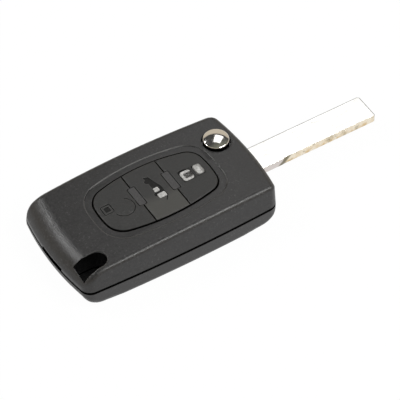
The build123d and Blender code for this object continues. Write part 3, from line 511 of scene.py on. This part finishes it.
cover_plastic = shell_plastic.copy()
cover_plastic.name = "cover_plastic"
tree = cover_plastic.node_tree
tree.nodes["soft_edge"].inputs["Radius"].default_value = 0.45 * millimetre
tree.nodes["soft_edge"].samples = 8
where = lay(tree, "ShaderNodeTexCoord").outputs["Object"]
# Painted shade: the walls of the key opening, the foot of the step round its band and the button's bore are
# coloured black.
by_the_keys = box_mask(tree, where, low=(-16.6, -10.2, 5.0), high=(19.4, 10.2, 20.0), fade=0.1)
opening_shade_depth, lip_shade_depth, bore_shade_depth = (0.27, 0.36), (0.17, 0.22), (0.2, 0.4)
opening = reckon(tree, "MULTIPLY", sunk_mask(tree, *opening_shade_depth), by_the_keys)
paint_gap_shade(cover_plastic, opening)
rounded = lay(tree, "ShaderNodeBevel", {"Radius": 0.35 * millimetre}, samples=8)
facing = lay(tree, "ShaderNodeNewGeometry").outputs["Normal"]
agree = lay(tree, "ShaderNodeVectorMath", {0: rounded, 1: facing}, operation="DOT_PRODUCT")
lip_shade = ramp(tree, agree.outputs["Value"], 0.99, 0.93, high=0.9)
lip_shade = reckon(tree, "MULTIPLY", lip_shade, by_the_keys)
lip_shade = reckon(tree, "MULTIPLY", lip_shade, sunk_mask(tree, *lip_shade_depth))
paint_gap_shade(cover_plastic, lip_shade)
by_the_button = box_mask(tree, where, low=(20.0, 2.0, 5.0), high=(30.5, 12.0, 20.0), fade=0.1)
bore_shade = reckon(tree, "MULTIPLY", sunk_mask(tree, *bore_shade_depth), by_the_button)
paint_gap_shade(cover_plastic, bore_shade)
finish_node("front_cover", cover_plastic)


# Key frame
# A smooth black plastic plate that holds the keys from behind. Only its two bridges show, between
# the keys.

frame_plastic = moulded_plastic(
    "frame_plastic", colour=(0.034, 0.033, 0.033), worn_colour=(0.09, 0.09, 0.09),
    grain_scale=7000.0, roughness=0.5, wear=0.3, relief=0.3)
finish_node("key_frame", frame_plastic)


# Keys
# Soft black plastic caps with engraved pictures. The near half of the middle key has gone greenish
# grey from thumbs, and the bold padlock is outlined in darker plastic.

key_plastic = moulded_plastic(
    "key_plastic", colour=(0.016, 0.016, 0.0155), worn_colour=(0.10, 0.10, 0.095),
    grain_scale=3500.0, roughness=0.5, wear=0.45, relief=0.7)
face_depth, engraving_shade_depth, side_shade_depth = (0.0, -0.08), (-0.05, 0.03), (0.12, 0.18)
# Painted shade: the engravings are darkened, and the sides of the keys, down in their gaps, are coloured
# black.
tint(key_plastic, sunk_mask(key_plastic.node_tree, *engraving_shade_depth), share=0.12, duller=0.4)
paint_gap_shade(key_plastic, sunk_mask(key_plastic.node_tree, *side_shade_depth))

thumbed_plastic = key_plastic.copy()
thumbed_plastic.name = "thumbed_plastic"
tree = thumbed_plastic.node_tree
place = lay(tree, "ShaderNodeSeparateXYZ", {0: lay(tree, "ShaderNodeTexCoord").outputs["Object"]})
thumbed_from, thumbed_to = -0.5 * millimetre, -4.0 * millimetre
thumbed = ramp(tree, place.outputs["Y"], thumbed_from, thumbed_to, high=0.33)
thumbed = reckon(tree, "MULTIPLY", thumbed, sunk_mask(tree, *face_depth))
tint(thumbed_plastic, thumbed, colour=(0.080, 0.078, 0.066))

outlined_plastic = key_plastic.copy()
outlined_plastic.name = "outlined_plastic"
tree = outlined_plastic.node_tree
where = lay(tree, "ShaderNodeTexCoord").outputs["Object"]
round_the_shackle = ((9.8, -1.9, 0.0), (13.7, 2.3, 20.0))
round_the_body = ((14.2, -1.7, 0.0), (16.9, 2.3, 20.0))
for low, high in (round_the_shackle, round_the_body):
    tint(outlined_plastic, box_mask(tree, where, low, high, fade=0.15), share=0.3, duller=0.2)
finish_node("key_lock", key_plastic)
finish_node("key_tailgate", thumbed_plastic)
finish_node("key_unlock", outlined_plastic)


# Paint in the pictures
# Pale paint, worn and scratched, in the bold padlock and in the windows of the car. Each patch is
# a thin plate with rounded corners in or just over the engraving.

symbol_paint = moulded_plastic(
    "symbol_paint", colour=(0.36, 0.355, 0.34), worn_colour=(0.16, 0.155, 0.145),
    grain_scale=3000.0, roughness=0.5, wear=0.5, relief=0.6)
key_proud = 0.1


def pale_plate(name, centre, size, corner, top, thickness=0.22):
    """Thin plate with rounded corners that follows the crown, top above the key's face."""
    x, y = centre
    face_z = crown_top - (x - crown_peak_x) ** 2 / (2 * crown_radius) + key_proud
    lean = (x - crown_peak_x) / crown_radius
    bpy.ops.mesh.primitive_cube_add(
        size=millimetre,
        location=(x * millimetre, y * millimetre, (face_z + top - thickness / 2) * millimetre),
        rotation=(0, lean, 0), scale=(*size, thickness))
    plate = bpy.context.object
    plate.name = name
    bpy.ops.object.transform_apply(location=True, rotation=True, scale=True)
    for parts in (plate.data.vertices, plate.data.polygons):
        parts.foreach_set("select", [False] * len(parts))
    for edge in plate.data.edges:
        start, end = (plate.data.vertices[number].co for number in edge.vertices)
        edge.select = abs(start.z - end.z) > 0.9 * thickness * millimetre
    bpy.ops.object.mode_set(mode="EDIT")
    bpy.ops.mesh.select_mode(type="EDGE")
    bpy.ops.mesh.bevel(offset=corner * millimetre, offset_type="OFFSET", segments=5, affect="EDGES")
    bpy.ops.object.mode_set(mode="OBJECT")
    return plate


def cut(plate, cutter):
    """Takes the cutter's shape out of a plate."""
    opening = plate.modifiers.new("opening", "BOOLEAN")
    opening.object = cutter
    opening.operation = "DIFFERENCE"
    opening.solver = "EXACT"
    bpy.context.view_layer.objects.active = plate
    bpy.ops.object.modifier_apply(modifier="opening")
    bpy.data.objects.remove(cutter)


def soften(plate):
    """Rounds the rim of a plate and gives it its paint."""
    bevel = plate.modifiers.new("rim", "BEVEL")
    bevel.width = 0.04 * millimetre
    bevel.segments = 2
    bevel.angle_limit = radians(50)
    bpy.context.view_layer.objects.active = plate
    bpy.ops.object.modifier_apply(modifier="rim")
    plate.data.materials.append(symbol_paint)


in_the_engraving, over_the_engraving = -0.02, 0.015
padlock_body = pale_plate("padlock_body", centre=(15.55, 0.3), size=(2.3, 3.5), corner=0.65,
                          top=in_the_engraving)
padlock_shackle = pale_plate("padlock_shackle", centre=(11.7, 0.1), size=(3.3, 3.6), corner=0.9,
                             top=over_the_engraving)
cut(padlock_shackle, pale_plate("shackle_opening", centre=(12.5, 0.1), size=(3.2, 1.8), corner=0.4,
                                top=0.2, thickness=0.6))
rear_window = pale_plate("rear_window", centre=(2.25, -2.35), size=(2.4, 1.75), corner=0.3,
                         top=over_the_engraving)
side_window = pale_plate("side_window", centre=(1.8, 0.1), size=(1.6, 1.5), corner=0.3,
                         top=over_the_engraving)
cut(side_window, pale_plate("window_post", centre=(1.8, 0.25), size=(2.4, 0.22), corner=0.05, top=0.1))
for plate, body in ((padlock_body, "unlock_key"), (padlock_shackle, "unlock_key"),
                    (rear_window, "tailgate_key"), (side_window, "tailgate_key")):
    soften(plate)
    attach(plate, body)
